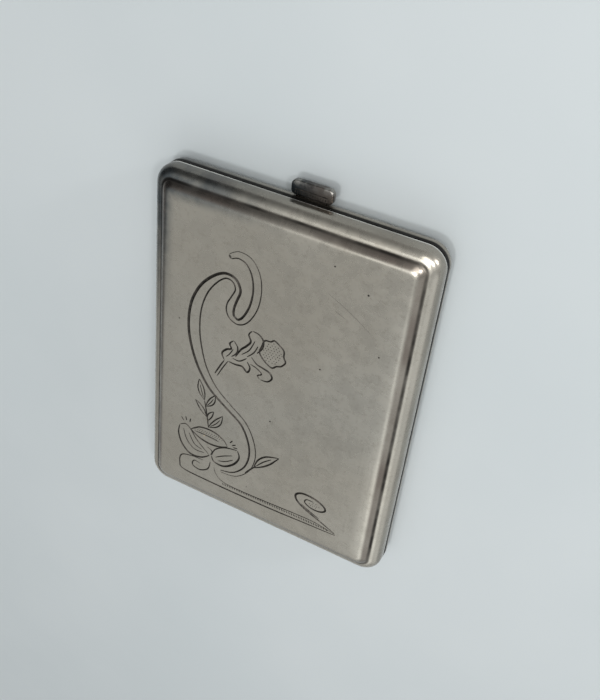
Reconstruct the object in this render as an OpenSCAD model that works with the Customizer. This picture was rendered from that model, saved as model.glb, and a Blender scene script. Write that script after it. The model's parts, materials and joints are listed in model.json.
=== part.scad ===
// Pocket needle case: two pressed silver half shells on a five-knuckle hinge,
// closed by a thumb lever, each half fitted with a felt needle leaf under an elastic band.
// It lies on its back: X along the hinge, +Y towards the thumb piece, +Z out of the lid's face.

/* [Case] */
// Width along the hinge
case_w = 62; // [58:1:70]
// Length from the hinge edge to the thumb edge
case_h = 85; // [80:1:96]
// Corner radius of the outline
corner_r = 4.5; // [4.5:0.5:8]
// Sheet thickness
wall = 0.6; // [0.5:0.1:0.7]

/* [Section of each half] */
// Height of the straight wall at the mouth
side_z = 1.4; // [1.3:0.1:2]
// Radius of the rounded border
border_r = 2.3; // [2.2:0.1:2.3]
// Rise of the raised panel above the border
panel_z = 1.4; // [1.2:0.1:1.6]
// Width of the panel's rounded shoulder
shoulder_w = 2; // [1.8:0.1:2.1]
// Gap between the two mouths
seam_gap = 0.15; // [0.1:0.05:0.3]

/* [Hinge] */
// Length of the row of knuckles
hinge_len = 44; // [35:1:46]
// Outer radius of a knuckle
barrel_r = 1.1; // [1:0.05:1.2]
// Distance of the hinge axis outside the wall
barrel_out = 0.8; // [0.75:0.05:0.9]
// Radius of the hinge pin
pin_r = 0.5; // [0.4:0.05:0.6]

/* [Catch] */
// Offset of the catch from the middle of the edge
catch_x = 1.8; // [-4:0.1:4]
// Width of the thumb piece
thumb_w = 9; // [8:0.2:12]
// Reach of the thumb piece beyond the wall
thumb_out = 3.3; // [3.2:0.1:4]

/* [Needle leaves and bands] */
// Width of a felt leaf
leaf_w = 43; // [38:1:43]
// Length of a felt leaf
leaf_l = 66; // [50:1:66]
// Thickness of a felt leaf
leaf_t = 1; // [0.8:0.1:1.2]
// Width of an elastic band
band_w = 11; // [9:1:12]
// Place of the bands along the case
band_y = 14; // [-10:1:18]

/* [Hidden] */
$fn = 48;

half_z = side_z + border_r + panel_z;
total_z = 2 * half_z + seam_gap;
floor_z = wall;
edge_y = case_h / 2;

// Panel shoulder: an arc that starts at the crease and ends level with the panel.
shoulder_r = (pow(shoulder_w, 2) + pow(panel_z, 2)) / (2 * panel_z);
panel_r = corner_r - border_r - shoulder_w;
border_z = panel_z + border_r;

// Hinge
knuckles = 5;
knuckle_gap = 0.1;
knuckle_len = hinge_len / knuckles;
hinge_y = -edge_y - barrel_out;
hinge_z = half_z + seam_gap / 2;
bore_r = pin_r + 0.03;
notch_r = barrel_r + 0.1;
head_t = 0.4;
leaf_thick = 0.5;
leaf_low = 1.4;

// Locating flange
flange_t = 0.5;
flange_up = 0.8;
flange_clear = 0.2;
flange_end = -30;
catch_gap = 5.2;

// Catch: the lever turns on a pin just inside the thumb edge.
pivot_y = edge_y - 1.9;
pivot_z = 3.4;
catch_pin_r = 0.4;
lever_w = 6.2;
lever_r = 0.8;
lug_t = 0.6;
lug_in = lever_w / 2 + 0.2;
base_y = edge_y - 9.5;
base_l = 4.4;
base_t = 0.5;
spring_t = 0.25;
spring_w = 4.8;
rivet_r = 0.5;
keeper_w = 5;
thumb_r = 0.7;
thumb_gap = 0.3;
thumb_corner = 1.6;
hook_z = half_z + 1.25;

// Bands and clips
band_t = 0.6;
clip_in = 22.9;
clip_out = 26.3;
clip_t = 0.4;
stud_x = 24.7;
leaf_y = -3.5;
leaf_gap = 0.05;
leaf_corner = 3;

// The part's own frame puts the middle of its overall length at y = 0.
far_y = edge_y + thumb_out;
near_y = hinge_y - barrel_r;
mid_y = (far_y + near_y) / 2;

// Section of a half: x is the distance from a corner's centre, y is the height from the panel face.
module outer_section() {
  intersection() {
    square([corner_r, half_z]);
    union() {
      translate([0, border_z]) square([corner_r, side_z]);
      translate([corner_r - border_r, border_z]) circle(border_r);
      translate([0, panel_z]) square([corner_r - border_r, half_z - panel_z]);
      square([panel_r, half_z]);
      translate([panel_r, shoulder_r]) circle(shoulder_r);
    }
  }
}

module inner_section() {
  translate([-1, border_z]) square([1 + corner_r - wall, side_z + 1]);
  translate([corner_r - border_r, border_z]) circle(border_r - wall);
  translate([-1, panel_z + wall]) square([1 + corner_r - border_r, half_z]);
  translate([-1, wall]) square([1 + panel_r, half_z]);
  translate([panel_r, shoulder_r]) circle(shoulder_r - wall);
}

module sheet_section() {
  difference() {
    outer_section();
    inner_section();
  }
}

// Sweeps a section round one quarter turn at a corner centre.
module corner_sweep(turn) {
  rotate(turn) rotate_extrude(angle = 90) children();
}

// Sweeps a section along +Y from y0 to y1, with the corner centre's line at x.
module side_sweep(x, y0, y1) {
  translate([x, y1, 0]) rotate([90, 0, 0]) linear_extrude(y1 - y0) children();
}

module half_shell() {
  cx = case_w / 2 - corner_r;
  cy = edge_y - corner_r;
  for (i = [0:3]) {
    ends = i % 2 == 0 ? [cx, cy] : [cy, cx];
    rotate(90 * i) {
      translate([ends[0], ends[1], 0]) corner_sweep(0) sheet_section();
      side_sweep(ends[0], -ends[1], ends[1]) sheet_section();
    }
  }
  translate([-cx, -cy, 0]) cube([2 * cx, 2 * cy, wall]);
}

// Turns what is drawn for the back half into the lid's half.
module in_lid() {
  translate([0, 0, total_z]) mirror([0, 0, 1]) children();
}

module along_x(x0, x1, y, z, r) {
  translate([x0, y, z]) rotate([0, 90, 0]) cylinder(r = r, h = x1 - x0);
}

// Extrudes a YZ outline along X.
module plate_yz(x0, x1, points) {
  translate([x0, 0, 0]) rotate([90, 0, 90]) linear_extrude(x1 - x0) polygon(points);
}

module hinge_notch() {
  reach = hinge_len / 2 + 0.8;
  along_x(-reach, reach, hinge_y, hinge_z, notch_r);
}

module back_shell() {
  slot_w = lever_w + 0.4;
  color("silver") difference() {
    half_shell();
    hinge_notch();
    translate([catch_x - slot_w / 2, pivot_y + 0.8, pivot_z - 0.85]) cube([slot_w, 3, 1.55]);
  }
}

module lid_shell() {
  color("silver") difference() {
    in_lid() half_shell();
    hinge_notch();
  }
}

// The strip inside the back's mouth that locates the closed lid.
module flange_section() {
  outer = corner_r - wall;
  inner = outer - flange_t;
  proud = outer - flange_clear;
  top = half_z + flange_up;
  polygon([
    [inner, half_z - side_z + 0.1], [outer, half_z - side_z + 0.1], [outer, half_z],
    [proud, half_z + 0.15], [proud, top - 0.15], [proud - 0.1, top], [inner, top]
  ]);
}

module flange(side) {
  cx = case_w / 2 - corner_r;
  cy = edge_y - corner_r;
  stop = catch_gap + side * catch_x;
  color("gold") mirror([side > 0 ? 0 : 1, 0, 0]) {
    side_sweep(cx, flange_end, cy) flange_section();
    translate([cx, cy, 0]) corner_sweep(0) flange_section();
    rotate(90) side_sweep(cy, -cx, -stop) flange_section();
  }
}

// One knuckle, soldered to its wall by a short leaf: way is -1 for the back and 1 for the lid.
module knuckle(place, way) {
  x0 = -hinge_len / 2 + place * knuckle_len + knuckle_gap / 2;
  x1 = x0 + knuckle_len - knuckle_gap;
  leaf_z = way < 0 ? hinge_z - leaf_low : hinge_z + 0.3;
  color("silver") difference() {
    union() {
      along_x(x0, x1, hinge_y, hinge_z, barrel_r);
      translate([x0, -edge_y - leaf_thick, leaf_z]) cube([x1 - x0, leaf_thick, leaf_low - 0.3]);
    }
    along_x(x0 - 1, x1 + 1, hinge_y, hinge_z, bore_r);
  }
}

module hinge_pin() {
  reach = hinge_len / 2 + 0.1;
  color("gray") {
    along_x(-reach, reach, hinge_y, hinge_z, pin_r);
    along_x(reach, reach + head_t, hinge_y, hinge_z, 0.85);
    along_x(-reach - head_t, -reach, hinge_y, hinge_z, 0.85);
  }
}

module rivet(x, y, z0, z1) {
  translate([x, y, z0]) cylinder(r = rivet_r, h = z1 - z0);
  translate([x, y, z1]) cylinder(r1 = 0.85, r2 = 0.45, h = 0.3);
}

module catch_rivet_places() {
  for (side = [-1, 1]) translate([catch_x + 1.5 * side, base_y + 1.6, 0]) children();
}

module catch_bracket() {
  outer = lug_in + lug_t;
  end_y = base_y + base_l;
  lug = [
    [base_y, floor_z], [end_y, floor_z], [edge_y - 1.2, 2.9], [edge_y - 1.2, 4.1],
    [edge_y - 2.5, 4.2], [base_y + 1, 1.6], [base_y, 1.6]
  ];
  color("gold") difference() {
    union() {
      translate([catch_x - outer, base_y, floor_z]) cube([2 * outer, base_l, base_t]);
      for (side = [0, 1])
        plate_yz(catch_x - outer + side * (outer + lug_in), catch_x - lug_in + side * (outer + lug_in), lug);
    }
    along_x(catch_x - outer - 1, catch_x + outer + 1, pivot_y, pivot_z, catch_pin_r + 0.02);
    catch_rivet_places() cylinder(r = rivet_r, h = 3);
  }
}

module catch_pin() {
  reach = lug_in + lug_t;
  color("gray") along_x(catch_x - reach, catch_x + reach, pivot_y, pivot_z, catch_pin_r);
}

module catch_spring() {
  top = floor_z + base_t;
  bend_y = base_y + base_l - 0.2;
  tip = [pivot_y - 0.1, 2.3];
  color("gray") difference() {
    plate_yz(catch_x - spring_w / 2, catch_x + spring_w / 2, [
      [base_y + 0.4, top], [bend_y, top], tip, [tip[0], tip[1] + spring_t],
      [bend_y - 0.1, top + spring_t], [base_y + 0.4, top + spring_t]
    ]);
    catch_rivet_places() cylinder(r = rivet_r, h = 3);
  }
}

module catch_rivets() {
  color("gold") catch_rivet_places() rivet(0, 0, floor_z, floor_z + base_t + spring_t);
}

// The lever's flat arm; its end sits in a mortise in the thumb piece.
module neck() {
  translate([catch_x - lever_w / 2, pivot_y, pivot_z - 0.4]) cube([lever_w, 3, 0.8]);
}

// Thumb arm outwards, hook arm upwards.
module catch_lever() {
  x0 = catch_x - lever_w / 2;
  x1 = catch_x + lever_w / 2;
  hook = [
    [pivot_y - 0.3, pivot_z], [pivot_y + 0.2, pivot_z], [pivot_y + 0.2, hook_z],
    [pivot_y - 0.8, hook_z], [pivot_y - 0.8, hook_z - 0.3], [pivot_y - 0.3, hook_z - 0.45]
  ];
  color("silver") difference() {
    union() {
      along_x(x0, x1, pivot_y, pivot_z, lever_r);
      neck();
      plate_yz(x0, x1, hook);
    }
    along_x(x0 - 1, x1 + 1, pivot_y, pivot_z, catch_pin_r + 0.03);
  }
}

module thumb_piece() {
  near = edge_y + thumb_gap + thumb_r;
  far = edge_y + thumb_out;
  out = thumb_w / 2;
  color("dimgray") difference() {
    hull() for (side = [-1, 1]) {
      translate([catch_x + side * (out - thumb_r), near, pivot_z - 0.1]) sphere(thumb_r, $fn = 24);
      translate([catch_x + side * (out - thumb_corner), far - thumb_corner, pivot_z - 0.1])
        rotate_extrude($fn = 32) translate([thumb_corner - thumb_r, 0]) circle(thumb_r, $fn = 24);
    }
    neck();
  }
}

// The lid's half of the catch hangs from the inside of its panel.
module catch_keeper() {
  roof = total_z - wall;
  lip_y = pivot_y - 0.9;
  lip_z = half_z + 0.35;
  color("gold") plate_yz(catch_x - keeper_w / 2, catch_x + keeper_w / 2, [
    [base_y, roof], [base_y + 4.6, roof], [lip_y - 0.4, lip_z + 0.85], [lip_y, lip_z + 0.45],
    [lip_y, lip_z], [lip_y - 0.9, lip_z], [base_y + 4.2, roof - 0.5], [base_y, roof - 0.5]
  ]);
}

module leaf() {
  hx = leaf_w / 2 - leaf_corner;
  hy = leaf_l / 2 - leaf_corner;
  color("darkred") translate([0, leaf_y, floor_z + leaf_gap]) linear_extrude(leaf_t) {
    square([leaf_w, 2 * hy], center = true);
    square([2 * hx, leaf_l], center = true);
    for (x = [-hx, hx], y = [-hy, hy]) translate([x, y]) circle(leaf_corner);
  }
}

module stud_places() {
  for (x = [-stud_x, stud_x], y = [-1, 1]) translate([x, band_y + y * band_w / 4, 0]) children();
}

// The band runs from clip to clip, over the leaf.
module band() {
  low = floor_z + clip_t;
  high = floor_z + leaf_gap + leaf_t + 0.15;
  left = [[-clip_out + 0.2, low], [-clip_in - 0.1, low], [-leaf_w / 2 - 0.1, high]];
  right = [[leaf_w / 2 + 0.1, high], [clip_in + 0.1, low], [clip_out - 0.2, low]];
  under = concat(left, right);
  over = [for (i = [5:-1:0]) under[i] + [0, band_t]];
  color("saddlebrown") difference() {
    translate([0, band_y + band_w / 2, 0]) rotate([90, 0, 0]) linear_extrude(band_w)
      polygon(concat(under, over));
    stud_places() cylinder(r = rivet_r, h = 4);
  }
}

// A clip is a folded plate round one end of the band.
module clip(side) {
  length = band_w + 1.6;
  top = floor_z + clip_t + band_t;
  color("gold") difference() {
    translate([0, band_y - length / 2, 0]) mirror([side > 0 ? 0 : 1, 0, 0]) {
      translate([clip_in, 0, floor_z]) cube([clip_out - clip_in, length, clip_t]);
      translate([clip_in + 0.5, 0, top]) cube([clip_out - clip_in - 0.5, length, clip_t]);
      translate([clip_out - 0.2, 0, floor_z]) cube([0.2, length, 2 * clip_t + band_t]);
    }
    stud_places() cylinder(r = rivet_r, h = 4);
  }
}

module band_rivets() {
  color("gold") stud_places() rivet(0, 0, floor_z, floor_z + 2 * clip_t + band_t);
}

translate([0, -mid_y, 0]) {
  back_shell();
  lid_shell();
  flange(-1);  // flange_left
  flange(1);  // flange_right
  knuckle(0, -1);  // back_knuckle_1
  knuckle(2, -1);  // back_knuckle_2
  knuckle(4, -1);  // back_knuckle_3
  knuckle(1, 1);  // lid_knuckle_1
  knuckle(3, 1);  // lid_knuckle_2
  hinge_pin();
  catch_bracket();
  catch_pin();
  catch_spring();
  catch_rivets();
  catch_lever();
  thumb_piece();
  catch_keeper();
  leaf();  // back_leaf
  band();  // back_band
  clip(-1);  // back_clip_left
  clip(1);  // back_clip_right
  band_rivets();  // back_band_rivets
  in_lid() leaf();  // lid_leaf
  in_lid() band();  // lid_band
  in_lid() clip(-1);  // lid_clip_left
  in_lid() clip(1);  // lid_clip_right
  in_lid() band_rivets();  // lid_band_rivets
}
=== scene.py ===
import json
import math
import random

import bpy
from mathutils import Matrix, Vector, noise
from mathutils.geometry import delaunay_2d_cdt


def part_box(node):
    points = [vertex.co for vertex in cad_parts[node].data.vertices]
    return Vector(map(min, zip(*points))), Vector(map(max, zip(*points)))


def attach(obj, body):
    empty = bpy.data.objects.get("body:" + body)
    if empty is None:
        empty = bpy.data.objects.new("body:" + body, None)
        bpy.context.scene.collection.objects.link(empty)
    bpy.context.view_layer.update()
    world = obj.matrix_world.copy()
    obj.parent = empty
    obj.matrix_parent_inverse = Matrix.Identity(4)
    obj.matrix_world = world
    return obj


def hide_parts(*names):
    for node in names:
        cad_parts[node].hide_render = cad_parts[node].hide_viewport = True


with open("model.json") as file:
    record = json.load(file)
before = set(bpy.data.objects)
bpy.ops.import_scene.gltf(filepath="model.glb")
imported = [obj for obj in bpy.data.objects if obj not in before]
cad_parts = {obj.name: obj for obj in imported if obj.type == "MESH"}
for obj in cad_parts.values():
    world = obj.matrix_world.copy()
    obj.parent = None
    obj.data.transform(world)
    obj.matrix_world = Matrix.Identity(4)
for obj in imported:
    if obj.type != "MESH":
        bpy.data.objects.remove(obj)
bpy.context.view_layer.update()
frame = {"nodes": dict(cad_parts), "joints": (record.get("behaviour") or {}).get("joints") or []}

MM = 0.001


def box_mm(node):
    """Low and high corner of a CAD node."""
    return [Vector(corner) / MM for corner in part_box(node)]


# ---------------- sizes, in millimetres

SHELL_LOW, SHELL_HIGH = box_mm("lid_shell")
KNUCKLE_LOW, KNUCKLE_HIGH = box_mm("back_knuckle_1")
HALF_X = (SHELL_HIGH.x - SHELL_LOW.x) / 2
HALF_Y = (SHELL_HIGH.y - SHELL_LOW.y) / 2
MID_Y = (SHELL_HIGH.y + SHELL_LOW.y) / 2
HINGE_EDGE = SHELL_LOW.y
MOUTH = SHELL_LOW.z
HALF_Z = SHELL_HIGH.z - MOUTH
SEAM = (box_mm("back_shell")[1].z + MOUTH) / 2
HINGE = Vector(next(j for j in frame["joints"] if j["name"] == "lid_hinge")["pos_m"]) / MM
BARREL_R = (KNUCKLE_HIGH.y - KNUCKLE_LOW.y) / 2

# The lid's section. An inset is measured in from the outline, a height up from the mouth.
WALL = 0.6               # thickness of the sheet
CORNER_R = 4.5           # outline's corner
PANEL_CORNER_R = 1.4     # panel's corner
SIDE_Z = 1.4             # height of the upright wall
BORDER_R = 2.3           # roll of the border, which ends at the crease
SHOULDER_W = 2.0         # shoulder's width inside the sheet
KNEE_W = 2.3             # outer width that rises steeply from the crease
CROWN_IN = 7.2           # inset from which the face is level
PANEL_IN = BORDER_R + SHOULDER_W
CREASE_Z = SIDE_Z + BORDER_R
PANEL_RISE = HALF_Z - CREASE_Z
SHOULDER_R = (SHOULDER_W ** 2 + PANEL_RISE ** 2) / (2 * PANEL_RISE)


# ---------------- mesh helpers

def new_object(name, verts, faces, materials, face_slots=None, sharp=30):
    """A smooth-shaded object from millimetre points, with edges over sharp degrees kept crisp."""
    mesh = bpy.data.meshes.new(name)
    mesh.from_pydata([Vector(v) * MM for v in verts], [], faces)
    for material in materials:
        mesh.materials.append(material)
    if face_slots:
        mesh.polygons.foreach_set("material_index", face_slots)
    mesh.validate()
    mesh.shade_smooth()
    mesh.set_sharp_from_angle(angle=math.radians(sharp))
    obj = bpy.data.objects.new(name, mesh)
    bpy.context.scene.collection.objects.link(obj)
    return obj


def dress(obj, body, slot, *replaced):
    """Hides the nodes that a piece replaces and hangs it on the body that carries it. slot is not used."""
    if replaced:
        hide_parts(*replaced)
    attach(obj, body)
    return obj


def ring(half_x, half_y, radius, arc_steps, counts):
    """Anticlockwise points of a rounded rectangle. Its sides along X and Y have counts parts."""
    cx = half_x - radius
    cy = half_y - radius
    points = []
    for turn, (sx, sy) in enumerate([(1, 1), (-1, 1), (-1, -1), (1, -1)]):
        for i in range(arc_steps + 1):
            a = math.radians(90 * turn + 90 * i / arc_steps)
            points.append((sx * cx + radius * math.cos(a), sy * cy + radius * math.sin(a)))
        side = 2 * (cx if turn % 2 == 0 else cy)
        count = counts[turn % 2]
        ax, ay = points[-1]
        dx, dy = [(-1, 0), (0, -1), (1, 0), (0, 1)][turn]
        points += [(ax + dx * side * k / count, ay + dy * side * k / count) for k in range(1, count)]
    return points


def bridge(faces, first, second, count):
    """Quads between two rings of count vertices that start at the given indices."""
    for i in range(count):
        j = (i + 1) % count
        faces.append((first + i, first + j, second + j, second + i))


def spline(points, step=0.35, closed=False):
    """Catmull-Rom curve through the points, sampled about every step. Points may carry extra values."""
    points = [tuple(float(v) for v in p) for p in points]
    if closed:
        padded = [points[-1]] + points + points[:2]
    else:
        padded = [points[0]] + points + [points[-1]]
    out = []
    for p0, p1, p2, p3 in zip(padded, padded[1:], padded[2:], padded[3:]):
        count = max(2, round(math.dist(p1[:2], p2[:2]) / step))
        for k in range(count):
            t = k / count
            out.append(tuple(
                0.5 * (2 * b + (c - a) * t + (2 * a - 5 * b + 4 * c - d) * t * t
                       + (3 * b - a - 3 * c + d) * t ** 3)
                for a, b, c, d in zip(p0, p1, p2, p3)))
    out.append(padded[-2] if not closed else out[0])
    return out


def normals_2d(line):
    """Unit left-hand normals along a polyline."""
    out = []
    for i in range(len(line)):
        a = line[max(0, i - 1)]
        b = line[min(len(line) - 1, i + 1)]
        dx, dy = b[0] - a[0], b[1] - a[1]
        size = math.hypot(dx, dy) or 1
        out.append((-dy / size, dx / size))
    return out


# ---------------- engraving

CUT_SLOPE = 0.42         # depth of a cut for each millimetre of its width
CUT_WEIGHT = 1.5         # widens every line by the same share
FINE_END = 0.3           # share of its width that a line has close to its ends
LEAST_DEPTH = 0.004      # a shallower cut is left out
PATINA_DEPTH = 0.01      # a deeper cut holds patina
BROAD_FACET = 0.8        # a triangle with a longer side is never sunk
SAME_POINT = 1e-3        # points closer than this are one vertex
CDT_INSIDE = 1           # Delaunay output that keeps the triangles inside the outline
CDT_NEAR = 1e-4          # distance at which the triangulation itself merges points


class Engraving:
    """V-cut lines and dots that are sunk into a flat face."""

    def __init__(self):
        self.strokes = []
        self.dots = []
        self.bounds = []

    def line(self, points, width=0.26, closed=False, swell=True):
        """A graver line: it swells from fine ends to full width and back, unless swell is off."""
        path = spline(points, closed=closed)
        widths = [width * CUT_WEIGHT] * len(path)
        last = len(path) - 1
        if swell and not closed:
            for i in range(len(path)):
                full = max(0, math.sin(math.pi * i / last)) ** 0.6
                widths[i] *= FINE_END + (1 - FINE_END) * full
        if not closed:
            widths[0] = widths[-1] = 0.0
        self.strokes.append(([p[:2] for p in path], widths))

    def leaf(self, base, tip, width, bend=0.0, vein=True, weight=0.24):
        """A pointed leaf with two bowed sides, from base to tip, and a vein that stops short."""
        bx, by = base
        dx, dy = tip[0] - bx, tip[1] - by
        size = math.hypot(dx, dy)
        nx, ny = -dy / size, dx / size

        def at(along, across):
            """A point by its share of the length and its distance off the midrib."""
            across += bend * 4 * along * (1 - along)
            return bx + dx * along + nx * across, by + dy * along + ny * across
        for side in (1, -1):
            bow = side * width / 2
            outline = ((0, 0), (0.3, 0.8), (0.6, 0.9), (0.85, 0.4), (1, 0))
            self.line([at(along, bow * across) for along, across in outline], weight)
        if vein:
            self.line([at(along, 0) for along in (0.1, 0.45, 0.75)], weight * 0.7)

    def dot(self, x, y, radius=0.13, depth=0.09):
        """A round-mouthed, pointed punch mark."""
        self.dots.append((x, y, radius, depth))

    def stipple(self, centre, radii, low, high, pitch, seed):
        """Punched dots inside an ellipse, on an uneven grid that spans low to high."""
        rng = random.Random(seed)
        uneven = 0.12
        row_pitch = 0.85 * pitch
        y = low[1]
        row = 0
        while y <= high[1]:
            x = low[0] + (row % 2) * pitch / 2
            while x <= high[0]:
                px = x + rng.uniform(-uneven, uneven) * pitch
                py = y + rng.uniform(-uneven, uneven) * pitch
                if ((px - centre[0]) / radii[0]) ** 2 + ((py - centre[1]) / radii[1]) ** 2 < 1:
                    self.dot(px, py)
                x += pitch
            y += row_pitch
            row += 1

    def depth_at(self, x, y):
        """How far the cuts sink the face at a point."""
        deepest = 0.0
        for low_x, low_y, high_x, high_y, path, widths in self.bounds:
            if not (low_x <= x <= high_x and low_y <= y <= high_y):
                continue
            for (ax, ay), (bx, by), wa, wb in zip(path, path[1:], widths, widths[1:]):
                dx, dy = bx - ax, by - ay
                size = dx * dx + dy * dy
                if size < 1e-12:
                    continue
                t = min(1.0, max(0.0, ((x - ax) * dx + (y - ay) * dy) / size))
                width = wa + (wb - wa) * t
                away = math.hypot(x - ax - dx * t, y - ay - dy * t)
                deepest = max(deepest, CUT_SLOPE * (width - 2 * away))
        for dx, dy, radius, depth in self.dots:
            if abs(x - dx) < radius and abs(y - dy) < radius:
                away = math.hypot(x - dx, y - dy)
                deepest = max(deepest, depth * (1 - away / radius))
        return deepest if deepest > LEAST_DEPTH else 0.0

    def cut(self, outline, grid):
        """Triangulates the face inside an outline, on a grid where it is plain.
        Returns points, triangles and the depth of each point."""
        points = [Vector(p) for p in outline]
        edges = [(i, (i + 1) % len(points)) for i in range(len(points))]

        def add(line, closed=False):
            """Adds a line's points and the edges between them."""
            start = len(points)
            points.extend(Vector(p) for p in line)
            edges.extend((start + i, start + i + 1) for i in range(len(line) - 1))
            if closed:
                edges.append((len(points) - 1, start))
        for path, widths in self.strokes:
            xs = [p[0] for p in path]
            ys = [p[1] for p in path]
            reach = max(widths)
            self.bounds.append((min(xs) - reach, min(ys) - reach, max(xs) + reach, max(ys) + reach,
                                path, widths))
            across = normals_2d(path)
            add(path)
            for side in (0.5, -0.5):
                add([(p[0] + side * w * n[0], p[1] + side * w * n[1])
                     for p, n, w in zip(path, across, widths)])
        sides = 6
        for x, y, radius, depth in self.dots:
            add([(x + radius * math.cos(a), y + radius * math.sin(a))
                 for a in (math.tau * k / sides for k in range(sides))], closed=True)
            points.append(Vector((x, y)))
        low = [min(p[k] for p in outline) for k in (0, 1)]
        high = [max(p[k] for p in outline) for k in (0, 1)]
        count_x = round((high[0] - low[0]) / grid)
        count_y = round((high[1] - low[1]) / grid)
        for i in range(1, count_x):
            for j in range(1, count_y):
                points.append(Vector((low[0] + (high[0] - low[0]) * i / count_x,
                                      low[1] + (high[1] - low[1]) * j / count_y)))
        found, _, triangles, *_ = delaunay_2d_cdt(points, edges, [], CDT_INSIDE, CDT_NEAR)
        depths = [self.depth_at(p.x, p.y) for p in found]
        for triangle in triangles:
            corners = [found[i] for i in triangle]
            longest = max((a - b).length for a, b in zip(corners, corners[1:] + corners[:1]))
            if longest > BROAD_FACET:
                for i in triangle:
                    depths[i] = 0.0
        return found, triangles, depths


def close_engraved(verts, faces, slots, rim, count, art, grid, art_y, top):
    """Closes the ring of count vertices from rim with the face that art is cut into.
    art_y is where the art's own y starts, top is the face's height."""
    outline = [(x, y - art_y) for x, y, z in verts[rim:rim + count]]
    points, triangles, depths = art.cut(outline, grid)
    place = []
    for p, depth in zip(points, depths):
        same = [j for j, (x, y) in enumerate(outline)
                if abs(x - p.x) < SAME_POINT and abs(y - p.y) < SAME_POINT]
        place.append(rim + same[0] if same else len(verts))
        if not same:
            verts.append((p.x, p.y + art_y, top - depth))
    for triangle in triangles:
        faces.append(tuple(place[i] for i in triangle))
        slots.append(1 if max(depths[i] for i in triangle) > PATINA_DEPTH else 0)


def ribbon(art, spine, heavy=0.46, light=0.25):
    """Two edge lines either side of a spine whose points carry the ribbon's width, and its cut end."""
    path = spline(spine)
    across = normals_2d(path)
    starts = []
    for side, weight in ((-1, heavy), (1, light)):
        edge = [(p[0] + side * p[2] / 2 * n[0], p[1] + side * p[2] / 2 * n[1])
                for p, n in zip(path, across)]
        art.line(edge[:-2:3] + [edge[-1]], weight)
        starts.append(edge[0])
    art.line(starts, 0.36)


def whiplash(art):
    """The long ribbon, from its curled top to its foot in the blossom."""
    ribbon(art, [
        (-11.4, 70.9, 1.0), (-9.6, 71.9, 1.5), (-7.2, 71.4, 1.9), (-5.4, 69.0, 2.0), (-4.7, 65.4, 1.9),
        (-5.2, 61.2, 1.8), (-6.8, 57.6, 1.5), (-8.6, 56.2, 1.2), (-10.3, 57.1, 1.5), (-10.6, 59.2, 1.8),
        (-9.8, 61.6, 1.4), (-9.1, 63.8, 1.2), (-10.0, 65.7, 1.1), (-12.0, 66.2, 1.1), (-14.4, 64.6, 1.5),
        (-17.0, 61.2, 2.1), (-18.7, 56.6, 2.6), (-19.1, 51.4, 2.8), (-18.4, 46.4, 2.7), (-16.6, 41.0, 2.3),
        (-13.6, 36.4, 2.0), (-9.4, 33.0, 1.7), (-5.4, 30.0, 1.6), (-3.1, 25.8, 1.6), (-2.4, 21.4, 1.6),
        (-3.6, 17.0, 1.4), (-6.6, 13.8, 1.1), (-10.4, 12.9, 0.5),
    ])


def bud(art):
    """A stem with curled bracts and a dotted pod."""
    art.line([(-13.4, 40.6), (-12.1, 43.4), (-11.2, 45.2)])
    art.line([(-12.8, 40.2), (-11.4, 43.2), (-10.3, 45.3)], 0.2)
    art.line([(-11.2, 45.2), (-11.9, 46.8), (-10.9, 48.2), (-9.7, 48.9), (-10.2, 50.0), (-9.2, 51.2)], 0.34)
    art.line([(-9.2, 51.2), (-8.2, 49.8), (-8.4, 48.2), (-9.6, 46.8)])
    art.line([(-10.9, 46.2), (-10.0, 47.4), (-9.2, 49.0)], 0.18)
    art.line([(-8.6, 47.2), (-7.4, 49.6), (-6.2, 51.0), (-5.2, 52.6), (-5.8, 54.2), (-5.0, 55.4)], 0.34)
    art.line([(-5.0, 55.4), (-3.4, 55.1), (-2.3, 53.9), (-2.4, 52.0), (-3.6, 50.2)], 0.3)
    art.line([(-7.2, 48.4), (-5.4, 50.3), (-4.2, 53.2)], 0.2)
    art.line([(-5.9, 48.3), (-4.3, 50.1), (-3.4, 52.2)], 0.2)
    art.line([(-10.3, 45.3), (-8.5, 45.2), (-6.8, 45.4), (-5.5, 44.4), (-4.9, 45.8), (-5.7, 47.2)], 0.34)
    art.line([(-9.4, 46.6), (-7.6, 46.5), (-5.8, 48.0)], 0.22)
    art.line([(-4.8, 48.8), (-3.4, 47.5), (-1.8, 47.1), (-0.2, 46.6), (0.5, 45.4), (-0.5, 44.1),
              (-2.3, 43.9)], 0.32)
    art.line([(-2.3, 43.9), (-3.0, 44.7), (-2.0, 45.4), (-3.2, 46.4), (-5.0, 46.9)], 0.24)
    pod = [(-2.6, 52.4), (-2.0, 54.2), (-0.6, 54.5), (0.2, 55.1), (1.5, 54.4), (2.6, 53.4), (2.7, 51.9),
           (3.2, 50.7), (2.3, 49.4), (1.2, 48.9), (0.3, 48.1), (-1.0, 48.6), (-2.4, 49.8), (-3.0, 51.0)]
    art.line(pod, 0.26, closed=True)
    art.stipple((0.1, 51.6), (2.3, 2.7), (-2.4, 48.8), (2.6, 54.4), 0.72, seed=3)


def sprig(art):
    """A bent stem with five small leaves."""
    art.line([(-14.2, 24.4), (-14.8, 28.2), (-15.6, 32.0)])
    art.leaf((-15.6, 32.0), (-17.2, 37.4), 1.7, 0.2)
    art.leaf((-15.2, 30.4), (-12.9, 34.6), 1.5, -0.3)
    art.leaf((-14.9, 27.4), (-18.0, 31.2), 1.1, -0.2, vein=False)
    art.leaf((-14.6, 26.4), (-13.0, 29.8), 1.1, 0.2, vein=False)
    art.leaf((-14.3, 24.6), (-10.7, 29.6), 1.7, -0.5)


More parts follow.
